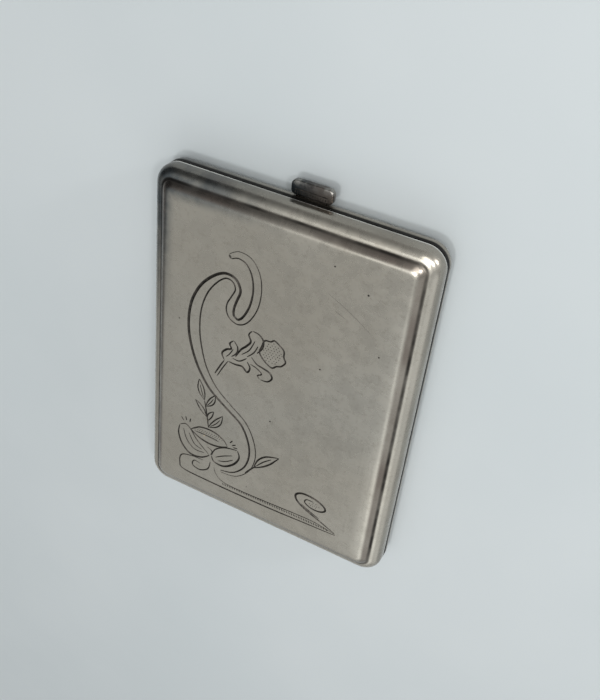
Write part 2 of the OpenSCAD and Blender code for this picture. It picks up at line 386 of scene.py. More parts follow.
def blossom(art):
    """Three petals with a dotted throat, short stamens, and a leaf beside the ribbon's foot."""
    art.line([(-13.5, 16.2), (-15.8, 14.5), (-18.8, 14.2), (-21.1, 16.2), (-22.2, 19.2),
              (-21.9, 21.8)], 0.36)
    art.line([(-21.9, 21.8), (-20.3, 22.7), (-18.8, 21.6), (-17.2, 19.4), (-15.2, 17.6),
              (-13.5, 16.2)], 0.24)
    art.line([(-14.9, 16.3), (-17.8, 16.2), (-19.9, 18.2), (-20.9, 21.2)], 0.2)
    art.line([(-15.6, 17.0), (-17.8, 17.8), (-19.4, 20.6)], 0.2)
    art.line([(-18.9, 21.8), (-16.4, 23.6), (-13.0, 23.9), (-10.2, 22.8), (-8.9, 21.2)], 0.3)
    art.line([(-18.9, 21.8), (-16.6, 20.4), (-13.6, 19.8), (-11.0, 20.2), (-8.9, 21.2)], 0.34)
    art.line([(-17.9, 21.8), (-14.8, 21.9), (-11.2, 21.6)], 0.2)
    art.stipple((-14.0, 22.6), (3.9, 0.9), (-18, 21.9), (-10, 23.4), 0.6, seed=5)
    art.line([(-13.0, 16.4), (-12.1, 18.8), (-9.6, 20.6), (-6.3, 21.4)], 0.26)
    art.line([(-6.3, 21.4), (-5.7, 19.4), (-7.0, 16.8), (-9.6, 14.8), (-12.2, 14.9), (-13.0, 16.4)], 0.38)
    art.line([(-12.0, 16.4), (-10.0, 17.8), (-7.4, 19.2)], 0.2)
    art.line([(-11.2, 15.7), (-9.2, 16.5), (-7.2, 18.0)], 0.2)
    art.line([(-13.3, 16.4), (-12.9, 17.8), (-14.3, 18.6)], 0.22)
    for x, y, turn in ((-20.6, 23.2, 130), (-20.0, 23.5, 105), (-19.3, 23.4, 80),
                       (-8.6, 22.4, 55), (-8.1, 22.0, 32), (-7.8, 21.7, 10)):
        a = math.radians(turn)
        stamen = [(x + r * math.cos(a), y + r * math.sin(a)) for r in (0.3, 0.9, 1.6)]
        art.line(stamen, 0.22, swell=False)
    art.line([(-3.9, 15.6), (-2.8, 17.2), (-1.2, 19.2)])
    art.leaf((-1.8, 18.4), (4.3, 24.4), 2.3, 0.5, weight=0.3)


def ground_line(art):
    """A double line with hatching between its edges and a scroll at each end."""
    art.line([(-15.2, 13.9), (-18.6, 13.6), (-21.2, 12.6), (-21.6, 10.0), (-20.4, 8.3), (-12.5, 8.0),
              (-4.3, 8.0), (4.0, 8.2), (12.0, 8.6), (20.4, 9.0)], 0.3)
    art.line([(-13.2, 14.4), (-13.8, 11.8), (-16.0, 10.4), (-18.0, 11.0), (-17.6, 12.6),
              (-15.8, 12.4)], 0.26)
    art.line([(-12.2, 13.2), (-11.4, 11.2), (-9.4, 9.8), (-5.4, 9.5), (1.6, 9.7), (9.0, 10.1),
              (15.0, 10.2), (20.4, 9.2)], 0.2)
    ticks = 44
    start_x, start_y = -9.6, 9.5
    length, rise = 28.0, 0.5
    for i in range(ticks):
        x = start_x + length * i / ticks
        y = start_y + rise * i / ticks
        art.line([(x, y), (x + 0.4, y - 0.75)], 0.26, swell=False)
    art.line([(20.2, 9.4), (16.2, 11.2), (12.2, 12.9), (9.9, 14.5), (9.5, 16.2), (11.2, 17.3),
              (14.0, 17.2), (16.4, 16.2), (17.0, 15.0), (15.8, 14.1), (13.6, 14.0), (11.9, 14.9),
              (12.2, 16.0), (14.0, 16.1)], 0.38)
    art.line([(15.9, 11.9), (13.0, 13.0), (11.0, 14.1)], 0.22)
    art.stipple((14.2, 15.2), (1.5, 0.6), (12.8, 14.7), (15.6, 15.8), 0.6, seed=9)


def wear(art):
    """Two fine scratches and a few small pits."""
    art.line([(10.2, 70.8), (15.4, 68.2), (20.6, 64.9)], 0.045)
    art.line([(12.4, 67.4), (15.2, 66.2)], 0.04)
    for x, y, radius in ((11.1, 76.9, 0.2), (18.6, 73.3, 0.24), (1.1, 33.8, 0.22), (-22.9, 51.5, 0.16),
                         (22.8, 60.6, 0.2), (11.0, 52.5, 0.2), (-3.2, 11.6, 0.14)):
        art.dot(x, y, radius, 0.8 * radius)


def ornament():
    """A whiplash ribbon with a bud, a sprig and a blossom over a hatched ground line.
    x is from the middle of the face and y from the hinge edge."""
    art = Engraving()
    for motif in (whiplash, bud, sprig, blossom, ground_line, wear):
        motif(art)
    return art


# ---------------- materials

class Graph:
    """Short ways to add shader nodes to one new material or world."""

    def __init__(self, name, kind=bpy.data.materials):
        self.owner = kind.new(name)
        self.owner.use_nodes = True
        self.tree = self.owner.node_tree
        coordinates = self.tree.nodes.new("ShaderNodeTexCoord")
        self.place = coordinates.outputs["Object"]
        self.facing = coordinates.outputs["Normal"]
        self.direction = coordinates.outputs["Generated"]

    def node(self, kind, *values, **settings):
        """A new node. values go to its inputs in order, as links or as numbers."""
        made = self.tree.nodes.new("ShaderNode" + kind)
        for key, value in settings.items():
            setattr(made, key, value)
        for socket, value in zip(made.inputs, values):
            if isinstance(value, bpy.types.NodeSocket):
                self.tree.links.new(value, socket)
            elif value is not None:
                socket.default_value = value
        return made

    def math(self, operation, *values):
        return self.node("Math", *values, operation=operation).outputs[0]

    def times(self, first, second):
        return self.math("MULTIPLY", first, second)

    def ramp(self, value, low, high, start=0.0, end=1.0):
        """Eases from start, where the value is low, to end, where it is high."""
        made = self.node("MapRange", value, low, high, start, end, interpolation_type="SMOOTHSTEP")
        return made.outputs[0]

    def noise(self, per_mm, detail=3.0, stretch=(1, 1, 1), seed=0.0):
        """Noise with per_mm features to a millimetre. seed shifts it, so that no two agree."""
        place = self.node("VectorMath", self.place, stretch, operation="MULTIPLY").outputs[0]
        place = self.node("VectorMath", place, (seed, seed, seed), operation="ADD").outputs[0]
        made = self.tree.nodes.new("ShaderNodeTexNoise")
        self.tree.links.new(place, made.inputs["Vector"])
        made.inputs["Scale"].default_value = per_mm / MM
        made.inputs["Detail"].default_value = detail
        return made.outputs["Fac"]

    def mix(self, factor, first, second):
        """The first colour, turning into the second as the factor rises to 1."""
        made = self.tree.nodes.new("ShaderNodeMix")
        made.data_type = "RGBA"
        for key, value in (("Factor_Float", factor), ("A_Color", first), ("B_Color", second)):
            socket = next(s for s in made.inputs if s.identifier == key)
            if isinstance(value, bpy.types.NodeSocket):
                self.tree.links.new(value, socket)
            else:
                socket.default_value = (*value, 1) if isinstance(value, tuple) else value
        return next(s for s in made.outputs if s.identifier == "Result_Color")

    def bump(self, height, depth_mm, below=None):
        """A normal from a height, laid over another bump when one is given."""
        made = self.tree.nodes.new("ShaderNodeBump")
        made.inputs["Strength"].default_value = 1.0
        made.inputs["Distance"].default_value = depth_mm * MM
        self.tree.links.new(height, made.inputs["Height"])
        if below:
            self.tree.links.new(below, made.inputs["Normal"])
        return made.outputs["Normal"]

    def finish(self, colour, roughness, normal=None, **uniform):
        """Links the material's values to its shader and sets the uniform ones."""
        inputs = self.tree.nodes["Principled BSDF"].inputs
        self.tree.links.new(colour, inputs["Base Color"])
        self.tree.links.new(roughness, inputs["Roughness"])
        if normal:
            self.tree.links.new(normal, inputs["Normal"])
        for key, value in uniform.items():
            inputs[key.replace("_", " ").title()].default_value = value
        return self.owner


def inset_and_height(g):
    """Node values for the distance in from the case's outline and for the height, in millimetres."""
    parts = g.node("SeparateXYZ", g.place)
    x = g.math("SUBTRACT", g.math("ABSOLUTE", parts.outputs[0]), (HALF_X - CORNER_R) * MM)
    y = g.math("ABSOLUTE", g.math("SUBTRACT", parts.outputs[1], MID_Y * MM))
    y = g.math("SUBTRACT", y, (HALF_Y - CORNER_R) * MM)
    outer_x = g.math("MAXIMUM", x, 0.0)
    outer_y = g.math("MAXIMUM", y, 0.0)
    square = g.math("ADD", g.times(outer_x, outer_x), g.times(outer_y, outer_y))
    corner = g.math("SQRT", square)
    inner = g.math("MINIMUM", g.math("MAXIMUM", x, y), 0.0)
    total = g.math("ADD", corner, inner)
    inset = g.math("SUBTRACT", CORNER_R, g.math("DIVIDE", total, MM))
    return inset, g.math("DIVIDE", parts.outputs[2], MM)


def near(g, value, centre, full, gone):
    """1 where a value is within full of the centre, easing to 0 at a distance of gone."""
    return g.ramp(g.math("ABSOLUTE", g.math("SUBTRACT", value, centre)), full, gone, 1.0, 0.0)


def fine_wear(g, depth=0.0035):
    """Hairline scratches in two directions and a soft planish, as a bump."""
    along = g.noise(0.9, 2.0, (1.0, 0.06, 0.4), 0.3)
    across = g.noise(0.8, 2.0, (0.05, 1.0, 0.4), 0.7)
    scratches = g.math("ADD", g.ramp(along, 0.55, 0.75), g.ramp(across, 0.58, 0.78))
    planish = g.bump(g.noise(0.12, 2.0, seed=0.9), 0.05)
    return g.bump(scratches, depth, planish)


# Blue-grey for the catch corner: partly tarnish, partly a painted dark reflection.
TARNISH_AND_REFLECTION = (0.08, 0.10, 0.115)
# Brown for the painted shade at the foot of the shoulder and on the upright wall.
PAINTED_SHADE_BROWN = (0.17, 0.14, 0.12)
# Black for the painted shade in the crease and the painted shadow on the seam strip.
PAINTED_SHADE_BLACK = (0.012, 0.011, 0.010)
# Near white for the painted highlight along the lid's mouth.
PAINTED_HIGHLIGHT = (0.86, 0.84, 0.80)


def clouded_silver(g):
    """Silver with soft clouds, dark specks and a warm cast in places."""
    cloud = g.ramp(g.noise(0.055, 5.0), 0.32, 0.72)
    colour = g.mix(cloud, (0.495, 0.47, 0.415), (0.435, 0.41, 0.358))
    speck = g.ramp(g.noise(1.3, 5.0, seed=0.2), 0.5, 0.72)
    colour = g.mix(g.times(speck, 0.25), colour, (0.25, 0.22, 0.18))
    warm = g.ramp(g.noise(0.018, 2.0, seed=0.8), 0.35, 0.65)
    return g.mix(g.times(warm, 0.22), colour, (0.57, 0.50, 0.40))


def corner_tarnish_and_reflection(g, inset):
    """Share of blue-grey on the border round the lid's left corner at the catch: partly tarnish, partly a
    painted reflection of the room's dark side.
    """
    corner = (-HALF_X * MM, (MID_Y + HALF_Y - 2) * MM, SHELL_HIGH.z * MM)
    reach = g.node("VectorMath", g.place, corner, operation="DISTANCE").outputs["Value"]
    round_corner = g.ramp(reach, 6 * MM, 36 * MM, 1.0, 0.0)
    on_border = g.ramp(inset, 3.5, 6.5, 1.0, 0.0)
    patchy = g.ramp(g.noise(0.3, 6.0, seed=0.15), 0.25, 0.65, 0.55, 1.0)
    tarnish_and_reflection = g.times(g.times(round_corner, on_border), patchy)
    return g.times(tarnish_and_reflection, 0.9)


def brown_painted_shade(g, inset):
    """Share of painted brown shade at the foot of the shoulder and on the upright wall."""
    shoulder = near(g, inset, BORDER_R + 0.8, 0.3, 1.2)
    wall = g.ramp(inset, 0.1, 0.9, 0.6, 0.0)
    patchy = g.ramp(g.noise(0.07, 4.0, seed=0.1), 0.35, 0.65, 0.5, 0.9)
    return g.times(g.math("MAXIMUM", shoulder, wall), patchy)


def crease_and_seam_shade(g, inset, height):
    """Share of painted black shade in the crease, and of a painted shadow on the strip that shows in the
    seam.
    """
    patchy = g.ramp(g.noise(0.16, 3.0, seed=0.5), 0.3, 0.65, 0.6, 1.0)
    crease = g.times(near(g, inset, BORDER_R + 0.12, 0.08, 0.5), patchy)
    below = g.ramp(height, 3.8, 4.4)
    above = g.ramp(height, MOUTH - 0.02, MOUTH + 0.1, 1.0, 0.0)
    edge = g.ramp(inset, 0.9, 2.4, 1.0, 0.0)
    seam = g.times(g.times(below, above), edge)
    return g.math("MAXIMUM", g.times(crease, 0.92), g.times(seam, 0.97))


def mouth_highlight(g, height):
    """Share of a painted highlight along the lid's mouth."""
    above = g.ramp(height, MOUTH + 0.02, MOUTH + 0.1)
    below = g.ramp(height, MOUTH + 0.3, MOUTH + 0.5, 1.0, 0.0)
    patchy = g.ramp(g.noise(0.1, 3.0, seed=0.35), 0.3, 0.6, 0.5, 1.0)
    return g.times(g.times(above, below), patchy)


def gilt_within(g, colour):
    """The colour outside, and a gilt wash on every face that looks in to the middle of the case."""
    centre = (0, MID_Y * MM, SEAM * MM)
    away = g.node("VectorMath", g.place, centre, operation="SUBTRACT").outputs[0]
    dot = g.node("VectorMath", away, g.facing, operation="DOT_PRODUCT").outputs["Value"]
    inner = g.math("LESS_THAN", dot, -0.4 * MM)
    wash = g.ramp(g.noise(0.09, 4.0, seed=0.6), 0.35, 0.7)
    return g.mix(inner, colour, g.mix(wash, (0.78, 0.60, 0.30), (0.62, 0.50, 0.31)))


def silver(name, gilt=False):
    """Satin silver with a blue-grey catch corner that is partly tarnish and partly painted dark reflection,
    painted shade in the crease and at the shoulder's foot, a painted shadow on the seam strip and a painted
    highlight along the mouth.
    """
    g = Graph(name)
    inset, height = inset_and_height(g)
    painted_shade_and_shadow = crease_and_seam_shade(g, inset, height)
    lip_highlight = mouth_highlight(g, height)
    colour = clouded_silver(g)
    # Blue-grey round the catch corner: partly tarnish, partly a painted reflection of the room's dark side.
    colour = g.mix(corner_tarnish_and_reflection(g, inset), colour, TARNISH_AND_REFLECTION)
    # Painted brown shade at the foot of the shoulder and on the upright wall.
    colour = g.mix(brown_painted_shade(g, inset), colour, PAINTED_SHADE_BROWN)
    # Painted black shade in the crease and a painted shadow on the seam strip.
    colour = g.mix(painted_shade_and_shadow, colour, PAINTED_SHADE_BLACK)
    # Painted highlight along the mouth.
    colour = g.mix(lip_highlight, colour, PAINTED_HIGHLIGHT)
    if gilt:
        colour = gilt_within(g, colour)
    satin = g.ramp(g.noise(0.35, 4.0, seed=0.4), 0.3, 0.7, 0.22, 0.32)
    rough = g.math("ADD", satin, g.times(g.math("MAXIMUM", painted_shade_and_shadow, lip_highlight), 0.3))
    return g.finish(colour, rough, fine_wear(g), metallic=1.0)


def cut_patina():
    """Dark deposit in the bottom of the engraved lines."""
    g = Graph("engraving_patina")
    colour = g.mix(g.ramp(g.noise(1.2), 0.3, 0.7), (0.022, 0.02, 0.017), (0.06, 0.052, 0.044))
    return g.finish(colour, g.ramp(g.noise(2.0), 0.3, 0.7, 0.4, 0.6), metallic=0.7)


def dark_silver():
    """Dark silver, painted darker towards its -X end as shade and lighter in patches towards its outer edge
    as a painted reflection.
    """
    g = Graph("thumb_silver")
    low, high = box_mm("thumb_piece")
    parts = g.node("SeparateXYZ", g.place)
    along, out = parts.outputs[0], parts.outputs[1]
    # Painted reflection of the wall: lighter towards the outer edge, in patches.
    tip = g.ramp(out, (low.y + 1.6) * MM, high.y * MM)
    edge_reflection = g.times(tip, g.ramp(g.noise(0.5, 4.0), 0.42, 0.62))
    # Painted shade: blue-black towards the -X end, browner towards the +X end.
    side = g.ramp(along, low.x * MM, high.x * MM)
    colour = g.mix(side, (0.028, 0.035, 0.040), (0.15, 0.13, 0.115))
    colour = g.mix(edge_reflection, colour, (0.30, 0.29, 0.27))
    rough = g.ramp(g.noise(0.8), 0.3, 0.7, 0.26, 0.4)
    return g.finish(colour, rough, fine_wear(g, 0.006), metallic=1.0)


def wire_steel():
    """Drawn steel with faint lines along the wire and small rust freckles."""
    g = Graph("wire_steel")
    colour = g.mix(g.ramp(g.noise(0.9, 4.0), 0.58, 0.75), (0.42, 0.42, 0.43), (0.22, 0.16, 0.12))
    normal = g.bump(g.noise(3.0, 2.0, (0.05, 1, 1)), 0.006)
    return g.finish(colour, g.ramp(g.noise(1.5), 0.3, 0.7, 0.24, 0.38), normal, metallic=1.0)


def worn_gilt():
    """Gilt wash, worn through to a greyer metal in places."""
    g = Graph("worn_gilt")
    colour = g.mix(g.ramp(g.noise(0.25, 5.0), 0.5, 0.72), (0.76, 0.57, 0.27), (0.56, 0.50, 0.40))
    rough = g.ramp(g.noise(0.6), 0.3, 0.7, 0.24, 0.42)
    return g.finish(colour, rough, fine_wear(g, 0.004), metallic=1.0)


def wool_felt():
    """Matted wool: tangled fibres over soft lumps."""
    g = Graph("wool_felt")
    fibre = g.noise(2.6, 6.0)
    matted = g.noise(0.6, 4.0, seed=0.3)
    colour = g.mix(g.ramp(fibre, 0.35, 0.65), (0.16, 0.018, 0.026), (0.36, 0.06, 0.07))
    colour = g.mix(g.ramp(matted, 0.45, 0.75, 0.0, 0.45), colour, (0.42, 0.10, 0.10))
    rough = g.ramp(fibre, 0.3, 0.7, 0.85, 1.0)
    normal = g.bump(g.math("ADD", fibre, matted), 0.22)
    return g.finish(colour, rough, normal, sheen_weight=0.2, sheen_roughness=0.4)


def woven_elastic():
    """Ribbed elastic: a fine weave across the ribs that the mesh carries."""
    g = Graph("woven_elastic")
    along = g.node("SeparateXYZ", g.place).outputs[0]
    pitch = 0.42
    weave = g.math("SINE", g.times(along, math.tau / (pitch * MM)))
    worn = g.ramp(g.noise(0.8, 4.0), 0.35, 0.7)
    colour = g.mix(g.ramp(weave, -0.6, 0.8), (0.045, 0.028, 0.020), (0.13, 0.082, 0.055))
    colour = g.mix(g.times(worn, 0.35), colour, (0.20, 0.14, 0.10))
    normal = g.bump(weave, 0.05)
    return g.finish(colour, g.ramp(worn, 0, 1, 0.68, 0.85), normal, sheen_weight=0.25)


def linen_thread():
    """Undyed thread, with a painted highlight on its raised strands."""
    g = Graph("linen_thread")
    twist = g.noise(3.5, 3.0)
    colour = g.mix(g.ramp(twist, 0.35, 0.65), (0.46, 0.38, 0.26), (0.72, 0.64, 0.50))
    rough = g.ramp(twist, 0.3, 0.7, 0.7, 0.9)
    return g.finish(colour, rough, g.bump(twist, 0.06), sheen_weight=0.2)


def painted_floor():
    """Pale blue-grey paint with a faint cloud."""
    g = Graph("pale_floor")
    colour = g.mix(g.ramp(g.noise(0.01, 4.0), 0.3, 0.7), (0.505, 0.545, 0.558), (0.54, 0.575, 0.586))
    return g.finish(colour, g.ramp(g.noise(0.05), 0.3, 0.7, 0.5, 0.62), g.bump(g.noise(0.3), 0.01))


SILVER = silver("silver")
SHELL_SILVER = silver("shell_silver", gilt=True)
PATINA = cut_patina()
DARK = dark_silver()
STEEL = wire_steel()
GILT = worn_gilt()
FELT = wool_felt()
ELASTIC = woven_elastic()
THREAD = linen_thread()


# ---------------- lid

def arc(centre, radius, start, end, steps):
    """(inset, height) points of an arc; angles are from the outward direction towards the panel."""
    out = []
    for i in range(steps + 1):
        a = math.radians(start + (end - start) * i / steps)
        out.append((centre[0] - radius * math.cos(a), centre[1] + radius * math.sin(a)))
    return out


def outer_shoulder():
    """The panel's rise from the crease: steep at first, then a long soft crown."""
    steps = 20
    knee, crown = 0.8, 0.2
    out = []
    for i in range(steps + 1):
        t = 0.05 + 0.95 * (i / steps) ** 1.4
        inset = BORDER_R + (CROWN_IN - BORDER_R) * t
        steep = max(0, 1 - (inset - BORDER_R) / KNEE_W) ** 2.2
        out.append((inset, CREASE_Z + PANEL_RISE * (1 - knee * steep - crown * (1 - t) ** 2)))
    return out


def outer_profile():
    """Section of the skin from the mouth, over the border and crease, to where the face is level."""
    rounded_lip = [(0.16, 0), (0.05, 0.03), (0, 0.14), (0, 0.7)]
    border = arc((BORDER_R, SIDE_Z), BORDER_R, 0, 85, 10)
    shoulder = outer_shoulder()
    a, b, c = border[-1], (BORDER_R + 0.03, CREASE_Z), shoulder[0]
    crease = []
    for k in (0.25, 0.5, 0.75):
        weights = ((1 - k) ** 2, 2 * k * (1 - k), k * k)
        crease.append(tuple(weights[0] * a[n] + weights[1] * b[n] + weights[2] * c[n] for n in (0, 1)))
    return rounded_lip + border + crease + shoulder


def inner_profile():
    """The same section one sheet thickness in, from the panel back to the mouth."""
    centre = (PANEL_IN, HALF_Z - SHOULDER_R)
    radius = SHOULDER_R - WALL
    low = CREASE_Z - WALL
    start = math.degrees(math.asin((low - centre[1]) / radius))
    shoulder = arc(centre, radius, 90, start, 7)
    border = arc((BORDER_R, SIDE_Z), BORDER_R - WALL, 90, 0, 7)
    return shoulder + border + [(WALL, 0.06), (WALL - 0.06, 0)]


def cut_hinge_groove(obj):
    """Cuts the groove that the knuckles lie in out of a shell."""
    end_play = 0.3
    side_play = 0.1
    low = box_mm("hinge_pin")[0].x - end_play
    radius = BARREL_R + side_play
    sides = 48
    verts = []
    for x in (low, -low):
        for i in range(sides):
            a = math.tau * i / sides
            verts.append((x, HINGE.y + radius * math.cos(a), HINGE.z + radius * math.sin(a)))
    faces = [tuple(range(sides))[::-1], tuple(range(sides, 2 * sides))]
    bridge(faces, 0, sides, sides)
    cutter = new_object("cutter", verts, faces, [SHELL_SILVER])
    modifier = obj.modifiers.new("hinge_notch", "BOOLEAN")
    modifier.operation = "DIFFERENCE"
    modifier.solver = "EXACT"
    modifier.object = cutter
    shape = obj.evaluated_get(bpy.context.evaluated_depsgraph_get())
    mesh = bpy.data.meshes.new_from_object(shape)
    obj.modifiers.clear()
    obj.data = mesh
    mesh.shade_smooth()
    mesh.set_sharp_from_angle(angle=math.radians(30))
    bpy.data.objects.remove(cutter)


DENT = 0.035             # most that wear has moved the skin in or out
DENT_SPREAD = 9
DENTED_FROM = MOUTH + 2  # the mouth keeps its fit


def dented(x, y, z):
    """Where wear has left a point, never above the plain shape's highest point."""
    if z <= DENTED_FROM:
        return x, y, z
    lift = DENT * noise.noise(Vector((x, y, z)) / DENT_SPREAD)
    return x, y, z + lift - DENT


def engraved_lid():
    """The pressed lid, hollow inside, with its ornament cut into the face."""
    verts = []
    faces = []
    outer = outer_profile()
    profile = outer + inner_profile()
    for inset, height in profile:
        radius = CORNER_R - (CORNER_R - PANEL_CORNER_R) * min(1, inset / PANEL_IN)
        loop = ring(HALF_X - inset, HALF_Y - inset, radius, 12, (22, 32))
        verts += [(x, y + MID_Y, MOUTH + height) for x, y in loop]
    count = len(loop)
    rings = len(profile)
    rim = (len(outer) - 1) * count
    ceiling = len(outer) * count
    for k in range(rings):
        if k * count != rim:
            bridge(faces, k * count, (k + 1) % rings * count, count)
    faces.append(tuple(range(ceiling, ceiling + count))[::-1])
    slots = [0] * len(faces)
    plain_grid = 2.4
    close_engraved(verts, faces, slots, rim, count, ornament(), plain_grid, HINGE_EDGE, SHELL_HIGH.z)
    skin = [dented(*v) for v in verts]
    lid = new_object("engraved_lid", skin, faces, [SHELL_SILVER, PATINA], slots)
    cut_hinge_groove(lid)
    return dress(lid, "lid", "silver", "lid_shell")


engraved_lid()


# ---------------- thumb piece

def grip_lines(low, high):
    """Short cuts side by side next to the case, and one long cut beyond them."""
    grip = Engraving()
    cuts = 14
    margin = 1.0
    for k in range(cuts):
        x = low.x + margin + (high.x - low.x - 2 * margin) * k / (cuts - 1)
        grip.line([(x, low.y + 0.4), (x + 0.06, low.y + 1.15)], 0.16, swell=False)
    mid_x = (low.x + high.x) / 2
    grip.line([(low.x + 0.8, low.y + 1.36), (mid_x, low.y + 1.38), (high.x - 0.8, low.y + 1.36)], 0.2)
    return grip


def thumb_tab():
    """Flat tab with softened edges and a band of fine grip lines next to the case."""
    low, high = box_mm("thumb_piece")
    half_x = (high.x - low.x) / 2
    half_y = (high.y - low.y) / 2
    mid = (low + high) / 2
    thick = high.z - low.z
    edge = 0.3
    corner = 1.1
    steps = 6
    quarter = [math.pi / 2 * k / steps for k in range(steps + 1)]
    section = [(edge * (1 - math.cos(a)), edge * math.sin(a)) for a in quarter]
    profile = [(inset, edge - rise) for inset, rise in reversed(section)]
    profile += [(inset, thick - edge + rise) for inset, rise in section]
    verts = []
    faces = []
    for inset, height in profile:
        loop = ring(half_x - inset, half_y - inset, corner - inset, 8, (8, 2))
        verts += [(x + mid.x, y + mid.y, low.z + height) for x, y in loop]
    count = len(loop)
    rim = (len(profile) - 1) * count
    for k in range(len(profile) - 1):
        bridge(faces, k * count, (k + 1) * count, count)
    faces.append(tuple(range(count))[::-1])
    slots = [0] * len(faces)
    plain_grid = 0.7
    close_engraved(verts, faces, slots, rim, count, grip_lines(low, high), plain_grid, 0, high.z)
    tab = new_object("thumb_tab", verts, faces, [DARK, PATINA], slots)
    return dress(tab, "catch", "dark_silver", "thumb_piece")


thumb_tab()


# ---------------- felt leaves

def pinked_outline(half_x, half_y, pitch=2.0, tooth=0.9):
    """A rectangle with zigzag edges, anticlockwise."""
    corners = [(half_x, -half_y), (half_x, half_y), (-half_x, half_y), (-half_x, -half_y)]
    out = []
    for k, (ax, ay) in enumerate(corners):
        bx, by = corners[(k + 1) % 4]
        size = math.hypot(bx - ax, by - ay)
        ux, uy = (bx - ax) / size, (by - ay) / size
        count = 2 * round(size / pitch)
        for i in range(count):
            depth = tooth if i % 2 == 0 else 0
            slip = tooth if i == 0 else 0
            t = i / count
            out.append((ax + (bx - ax) * t - depth * uy + slip * ux,
                        ay + (by - ay) * t + depth * ux + slip * uy))
    return out


def felt_lift(x, y, edge, band_low, band_high, way):
    """Share of a leaf's thickness at a point: lumpy, dipped under the band and thin at its edges."""
    level, lumps, pressed, thinned = 0.89, 0.10, 0.12, 0.28
    beside_band, edge_w = 0.6, 1.6
    lift = level + lumps * noise.noise(Vector((x / 3, y / 3, way)))
    if band_low.y - beside_band < y < band_high.y + beside_band:
        lift -= pressed
    lift -= thinned * max(0, 1 - edge / edge_w) ** 2
    return min(lift, 0.99)


def felt_leaf(node, body, way):
    """A pinked leaf of felt, pressed down a little under its band. way is 1 where it faces up."""
    low, high = box_mm(node)
    band_low, band_high = box_mm(body + "_band")
    mid = (low + high) / 2
    half_x = (high.x - low.x) / 2
    half_y = (high.y - low.y) / 2
    points = [Vector(p) for p in pinked_outline(half_x, half_y)]
    count = len(points)
    edges = [(i, (i + 1) % count) for i in range(count)]
    step = 1.3
    margin = 1.5
    reach_x = half_x - margin
    reach_y = half_y - margin
    columns = round(2 * reach_x / step)
    rows = round(2 * reach_y / step)
    for i in range(columns + 1):
        x = -reach_x + 2 * reach_x * i / columns
        points += [Vector((x, -reach_y + 2 * reach_y * j / rows)) for j in range(rows + 1)]
    found, _, triangles, *_ = delaunay_2d_cdt(points, edges, [], CDT_INSIDE, CDT_NEAR)
    base = low.z if way > 0 else high.z
    thick = high.z - low.z
    verts = []
    for p in found:
        x, y = p.x + mid.x, p.y + mid.y
        edge = min(half_x - abs(p.x), half_y - abs(p.y))
        lift = felt_lift(x, y, edge, band_low, band_high, way)
        verts.append((x, y, base + way * thick * lift))
    top = len(verts)
    clear = 0.02
    verts += [(x, y, base + way * clear) for x, y, z in verts[:top]]
    face = [tuple(t) if way > 0 else tuple(t)[::-1] for t in triangles]
    back = [tuple(top + i for i in f)[::-1] for f in face]
    sides = [pair for f in face for pair in zip(f, f[1:] + f[:1])]
    shared = set(sides)
    rim = [(b, a, top + a, top + b) for a, b in sides if (b, a) not in shared]
    leaf = new_object(body + "_felt_leaf", verts, face + back + rim, [FELT], sharp=50)
    dress(leaf, body, "felt", node)
    stitch_lift = 0.86
    stitches = leaf_stitches(body, low, high, base + way * thick * stitch_lift, way)


def leaf_stitches(body, low, high, z, way):
    """A running stitch of linen thread round the leaf, one small arch to a stitch."""
    inset = 2.6
    half_x = (high.x - low.x) / 2 - inset
    half_y = (high.y - low.y) / 2 - inset
    mid = (low + high) / 2
    pitch, length, radius, rise = 3.0, 2.0, 0.17, 0.14
    sunk = 0.12
    sides = 8
    spans = 6
    verts = []
    faces = []
    for along_x, side in ((True, 1), (True, -1), (False, 1), (False, -1)):
        reach = half_x if along_x else half_y
        count = round(2 * reach / pitch)
        for k in range(count):
            centre = -reach + (k + 0.5) * 2 * reach / count
            start = len(verts)
            for s in range(spans + 1):
                t = s / spans
                u = centre + (t - 0.5) * length
                lift = rise * math.sin(math.pi * t) - sunk
                thick = radius * (0.55 + 0.45 * math.sin(math.pi * t))
                for c in range(sides):
                    a = math.tau * c / sides
                    across = (half_y if along_x else half_x) * side + thick * math.cos(a)
                    x, y = (u, across) if along_x else (across, u)
                    verts.append((x + mid.x, y + mid.y, z + way * (lift + thick * math.sin(a))))
            for s in range(spans):
                bridge(faces, start + s * sides, start + (s + 1) * sides, sides)
            faces.append(tuple(range(start, start + sides))[::-1])
            faces.append(tuple(range(start + spans * sides, start + (spans + 1) * sides)))
    thread = new_object(body + "_leaf_stitches", verts, faces, [THREAD], sharp=60)
    return dress(thread, body, "felt")


felt_leaf("back_leaf", "back", 1)
felt_leaf("lid_leaf", "lid", -1)


# ---------------- elastic bands

